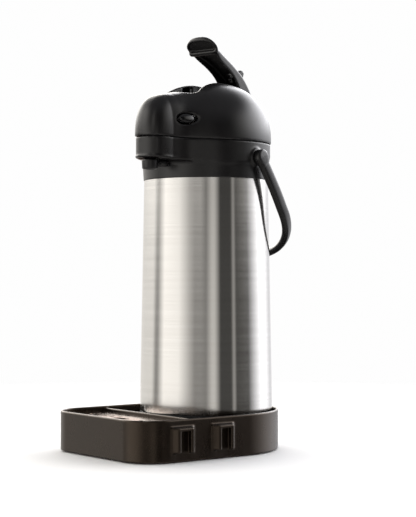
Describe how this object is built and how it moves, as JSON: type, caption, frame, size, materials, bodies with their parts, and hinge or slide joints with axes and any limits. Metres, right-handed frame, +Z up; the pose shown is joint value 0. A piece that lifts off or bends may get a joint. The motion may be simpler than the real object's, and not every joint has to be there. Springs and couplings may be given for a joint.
{
  "type": "coffee airpot",
  "caption": "Lever-pump thermal coffee airpot: steel vessel under a domed black head with a spout bill, swinging bail and raised lever, standing in a drip tray with a lift-out grate.",
  "frame": {"origin": "table level on the pot's own axis, under the middle foot of the tray", "axes": "+Z up along the pot's axis; -Y towards the spout; +Y towards the lid hinge; +X to the right side, where the bail's right pivot and the tray's sockets are. The tray lies turned 13.8 degrees clockwise, seen from above, about the same axis."},
  "size_m": [0.2238, 0.2647, 0.4967],
  "materials": {
    "tray_plastic": "moulded dark brown-black plastic with a soft gloss",
    "grate_steel": "polished stainless sheet with pressed slots",
    "brushed_steel": "satin stainless tube brushed around the pot",
    "liner_steel": "plain drawn stainless flask, satin",
    "dark_plastic": "matt black moulding",
    "head_plastic": "satin black moulding, smooth with a broad soft sheen",
    "pale_plastic": "natural food-grade plastic",
    "silicone": "translucent grey silicone, matt",
    "pin_steel": "bright steel wire, rod and sheet",
    "rubber": "black rubber, matt"
  },
  "bodies": {
    "tray": {"tray_shell": "tray_plastic", "tray_foot_1": "rubber", "tray_foot_2": "rubber", "tray_foot_3": "rubber", "tray_foot_4": "rubber", "tray_foot_5": "rubber"},
    "grate": {"drip_grate": "grate_steel"},
    "pot": {"steel_shell": "brushed_steel", "inner_flask": "liner_steel", "base_cup": "dark_plastic", "base_ring": "rubber", "collar": "head_plastic", "stopper": "pale_plastic", "dip_tube": "pale_plastic", "spout_duct": "pale_plastic", "spout_nozzle": "head_plastic", "bill_boss": "head_plastic", "hinge_pin": "pin_steel", "bail_pin_right": "dark_plastic", "bail_pin_left": "dark_plastic"},
    "lid": {"lid_shell": "head_plastic", "lid_base": "dark_plastic", "lid_gasket": "silicone", "lever_pin": "pin_steel", "bellows": "silicone", "bellows_spring": "pin_steel"},
    "lever": {"lever_shell": "head_plastic", "presser_yoke": "pin_steel", "presser_roller": "pale_plastic"},
    "pump": {"pump_plate": "dark_plastic"},
    "lock": {"lock_knob": "head_plastic"},
    "release_right": {"button_right": "head_plastic"},
    "release_left": {"button_left": "head_plastic"},
    "bail": {"bail_handle": "head_plastic"}
  },
  "joints": [
    {"name": "grate_lift", "type": "slide", "parent": "tray", "child": "grate", "axis": [0, 0, 1], "range_m": [0, 0.02]},
    {"name": "pot_lift", "type": "slide", "parent": "tray", "child": "pot", "axis": [0, 0, 1], "range_m": [0, 0.03]},
    {"name": "lid_hinge", "type": "hinge", "parent": "pot", "child": "lid", "pos_m": [0, 0.0835, 0.362], "axis": [-1, 0, 0], "range_deg": [0, 80]},
    {"name": "lever_pivot", "type": "hinge", "parent": "lid", "child": "lever", "pos_m": [0, 0.058, 0.395], "axis": [1, 0, 0], "range_deg": [0, 36], "stiffness_Nm_per_rad": 1.2, "springref_deg": -14.32},
    {"name": "pump_stroke", "type": "slide", "parent": "lid", "child": "pump", "axis": [0, 0, -1], "range_m": [0, 0.0224], "deforming": ["bellows", "bellows_spring"]},
    {"name": "lock_slide", "type": "slide", "parent": "lever", "child": "lock", "axis": [0, -0.7386, 0.6741], "range_m": [0, 0.0045]},
    {"name": "right_button_push", "type": "slide", "parent": "lid", "child": "release_right", "axis": [-0.9193, 0.2811, -0.2756], "range_m": [0, 0.003], "stiffness_N_per_m": 400, "springref_m": -0.0005},
    {"name": "left_button_push", "type": "slide", "parent": "lid", "child": "release_left", "axis": [0.9193, 0.2811, -0.2756], "range_m": [0, 0.003], "stiffness_N_per_m": 400, "springref_m": -0.0005},
    {"name": "bail_swing", "type": "hinge", "parent": "pot", "child": "bail", "pos_m": [0, -0.002, 0.348], "axis": [-1, 0, 0], "range_deg": [-130, 0]}
  ],
  "couplings": [
    {"joint": "pump_stroke", "follows": "lever_pivot", "m_per_rad": 0.03565}
  ]
}
